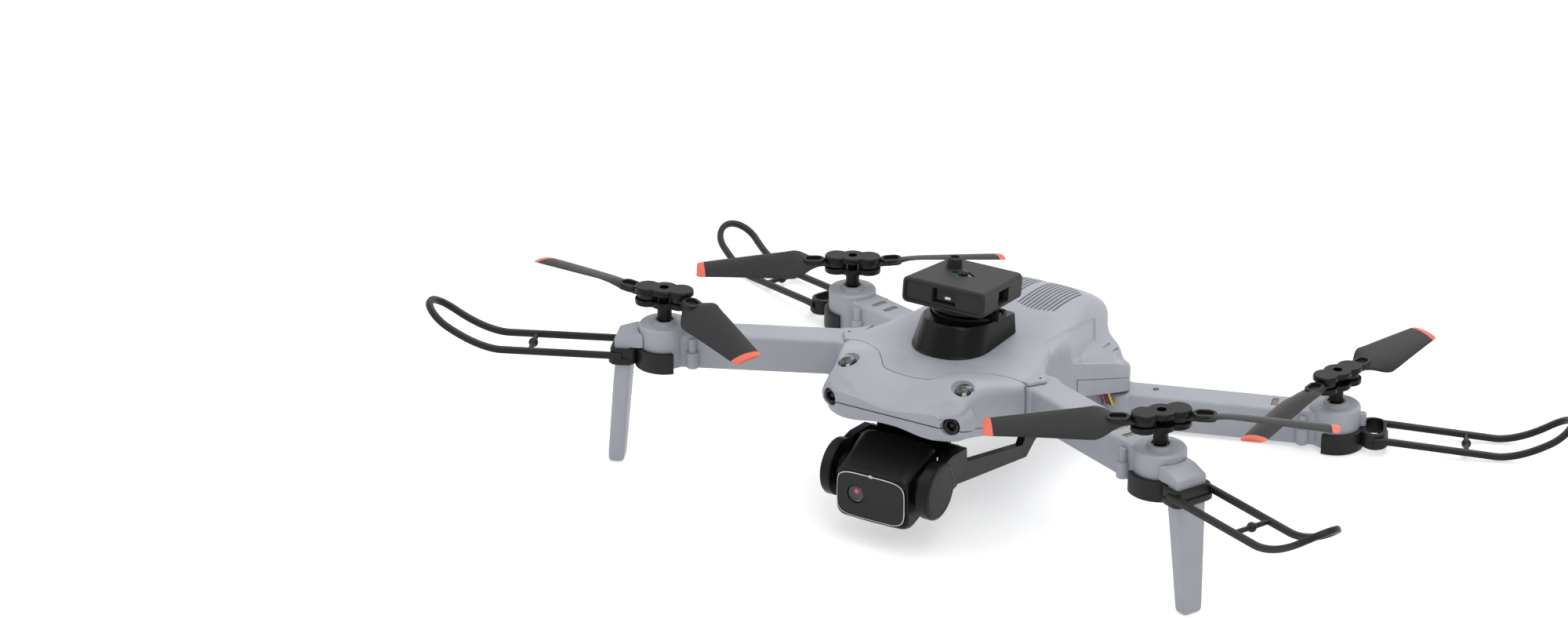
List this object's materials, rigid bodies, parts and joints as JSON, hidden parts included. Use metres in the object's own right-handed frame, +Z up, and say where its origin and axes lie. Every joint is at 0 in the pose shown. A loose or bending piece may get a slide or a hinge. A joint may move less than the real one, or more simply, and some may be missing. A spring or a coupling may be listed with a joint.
{
  "type": "folding quadcopter drone",
  "caption": "Folding quadcopter drone with clip-on propeller guards, folding blades, a tilting front camera and a turning sensor head on a wedge-shaped body.",
  "frame": {"origin": "on the ground under the middle of the overall outline", "axes": "+X to the left of the drone, +Y to its tail, +Z up"},
  "size_m": [0.3494, 0.2293, 0.0798],
  "materials": {
    "grey_shell": "fine satin moulding",
    "black_plastic": "satin",
    "propeller_plastic": "satin",
    "steel": "plain",
    "bright_trim": "polished",
    "clear_lens": "clear",
    "dark_lens": "gloss",
    "circuit_board": "coated",
    "teal_window": "gloss"
  },
  "bodies": {
    "airframe": {"top_shell": "grey_shell", "nose_cover": "grey_shell", "bottom_shell": "grey_shell", "sensor_pedestal": "black_plastic", "camera_bracket": "black_plastic", "main_board": "circuit_board", "headlamp_left": "clear_lens", "headlamp_right": "clear_lens", "lamp_reflector_left": "bright_trim", "lamp_reflector_right": "bright_trim", "eye_sensor_left": "dark_lens", "eye_sensor_right": "dark_lens", "hinge_pin_front_left": "steel", "hinge_pin_front_right": "steel", "hinge_pin_rear_left": "steel", "hinge_pin_rear_right": "steel"},
    "battery": {"battery_pack": "grey_shell"},
    "latch": {"battery_latch": "black_plastic"},
    "button": {"power_button": "black_plastic"},
    "head": {"head_turntable": "black_plastic", "head_case": "black_plastic", "head_indicator": "teal_window"},
    "camera": {"camera_pod": "black_plastic", "camera_trim": "bright_trim", "camera_glass": "dark_lens", "camera_lens": "dark_lens"},
    "arm_front_left": {"arm_front_left": "grey_shell", "cover_front_left": "grey_shell", "motor_front_left": "steel", "guard_front_left": "black_plastic", "leg_front_left": "grey_shell"},
    "propeller_front_left": {"hub_front_left": "propeller_plastic", "hub_cap_front_left": "propeller_plastic"},
    "blade_front_left_a": {"blade_front_left_a": "propeller_plastic"},
    "blade_front_left_b": {"blade_front_left_b": "propeller_plastic"},
    "arm_front_right": {"arm_front_right": "grey_shell", "cover_front_right": "grey_shell", "motor_front_right": "steel", "guard_front_right": "black_plastic", "leg_front_right": "grey_shell"},
    "propeller_front_right": {"hub_front_right": "propeller_plastic", "hub_cap_front_right": "propeller_plastic"},
    "blade_front_right_a": {"blade_front_right_a": "propeller_plastic"},
    "blade_front_right_b": {"blade_front_right_b": "propeller_plastic"},
    "arm_rear_left": {"arm_rear_left": "grey_shell", "cover_rear_left": "grey_shell", "motor_rear_left": "steel", "guard_rear_left": "black_plastic"},
    "propeller_rear_left": {"hub_rear_left": "propeller_plastic", "hub_cap_rear_left": "propeller_plastic"},
    "blade_rear_left_a": {"blade_rear_left_a": "propeller_plastic"},
    "blade_rear_left_b": {"blade_rear_left_b": "propeller_plastic"},
    "arm_rear_right": {"arm_rear_right": "grey_shell", "cover_rear_right": "grey_shell", "motor_rear_right": "steel", "guard_rear_right": "black_plastic"},
    "propeller_rear_right": {"hub_rear_right": "propeller_plastic", "hub_cap_rear_right": "propeller_plastic"},
    "blade_rear_right_a": {"blade_rear_right_a": "propeller_plastic"},
    "blade_rear_right_b": {"blade_rear_right_b": "propeller_plastic"}
  },
  "joints": [
    {"name": "fold_front_left", "type": "hinge", "parent": "airframe", "child": "arm_front_left", "pos_m": [0.0372, -0.04945, 0.04485], "axis": [0, 0, 1], "range_deg": [0, 35]},
    {"name": "spin_front_left", "type": "hinge", "parent": "arm_front_left", "child": "propeller_front_left", "pos_m": [0.095, -0.07595, 0.05916], "axis": [0, 0, 1], "continuous": true},
    {"name": "blade_fold_front_left_a", "type": "hinge", "parent": "propeller_front_left", "child": "blade_front_left_a", "pos_m": [0.0988, -0.07157, 0.06246], "axis": [0, 0, 1], "range_deg": [-49.7, 100.3]},
    {"name": "blade_fold_front_left_b", "type": "hinge", "parent": "propeller_front_left", "child": "blade_front_left_b", "pos_m": [0.0912, -0.08034, 0.06246], "axis": [0, 0, 1], "range_deg": [-55, 95]},
    {"name": "fold_front_right", "type": "hinge", "parent": "airframe", "child": "arm_front_right", "pos_m": [-0.0372, -0.04945, 0.04485], "axis": [0, 0, -1], "range_deg": [0, 35]},
    {"name": "spin_front_right", "type": "hinge", "parent": "arm_front_right", "child": "propeller_front_right", "pos_m": [-0.095, -0.07595, 0.05916], "axis": [0, 0, 1], "continuous": true},
    {"name": "blade_fold_front_right_a", "type": "hinge", "parent": "propeller_front_right", "child": "blade_front_right_a", "pos_m": [-0.08939, -0.07449, 0.06246], "axis": [0, 0, 1], "range_deg": [-30.5, 119.5]},
    {"name": "blade_fold_front_right_b", "type": "hinge", "parent": "propeller_front_right", "child": "blade_front_right_b", "pos_m": [-0.10061, -0.07742, 0.06246], "axis": [0, 0, 1], "range_deg": [-50.5, 99.5]},
    {"name": "fold_rear_left", "type": "hinge", "parent": "airframe", "child": "arm_rear_left", "pos_m": [0.0265, 0.03355, 0.00765], "axis": [0, 0, -1], "range_deg": [0, 25]},
    {"name": "spin_rear_left", "type": "hinge", "parent": "arm_rear_left", "child": "propeller_rear_left", "pos_m": [0.098, 0.05705, 0.02196], "axis": [0, 0, 1], "continuous": true},
    {"name": "blade_fold_rear_left_a", "type": "hinge", "parent": "propeller_rear_left", "child": "blade_rear_left_a", "pos_m": [0.09987, 0.06254, 0.02526], "axis": [0, 0, 1], "range_deg": [-88.3, 61.7]},
    {"name": "blade_fold_rear_left_b", "type": "hinge", "parent": "propeller_rear_left", "child": "blade_rear_left_b", "pos_m": [0.09613, 0.05156, 0.02526], "axis": [0, 0, 1], "range_deg": [-91.8, 58.2]},
    {"name": "fold_rear_right", "type": "hinge", "parent": "airframe", "child": "arm_rear_right", "pos_m": [-0.0265, 0.03355, 0.00765], "axis": [0, 0, 1], "range_deg": [0, 25]},
    {"name": "spin_rear_right", "type": "hinge", "parent": "arm_rear_right", "child": "propeller_rear_right", "pos_m": [-0.098, 0.05705, 0.02196], "axis": [0, 0, 1], "continuous": true},
    {"name": "blade_fold_rear_right_a", "type": "hinge", "parent": "propeller_rear_right", "child": "blade_rear_right_a", "pos_m": [-0.09276, 0.05953, 0.02526], "axis": [0, 0, 1], "range_deg": [-92.6, 57.4]},
    {"name": "blade_fold_rear_right_b", "type": "hinge", "parent": "propeller_rear_right", "child": "blade_rear_right_b", "pos_m": [-0.10324, 0.05456, 0.02526], "axis": [0, 0, 1], "range_deg": [-80.4, 69.6]},
    {"name": "head_turn", "type": "hinge", "parent": "airframe", "child": "head", "pos_m": [0, -0.03495, 0.061], "axis": [0, 0.1132, 0.9936], "range_deg": [-90, 90]},
    {"name": "camera_tilt", "type": "hinge", "parent": "airframe", "child": "camera", "pos_m": [0, -0.08745, 0.0218], "axis": [1, 0, 0], "range_deg": [-20, 45]},
    {"name": "battery_slide", "type": "slide", "parent": "airframe", "child": "battery", "axis": [0, 1, 0], "range_m": [0, 0.045]},
    {"name": "latch_press", "type": "slide", "parent": "battery", "child": "latch", "axis": [0, -1, 0], "range_m": [0, 0.0012], "stiffness_N_per_m": 800},
    {"name": "button_press", "type": "slide", "parent": "battery", "child": "button", "axis": [0, -1, 0], "range_m": [0, 0.0008], "stiffness_N_per_m": 800}
  ]
}
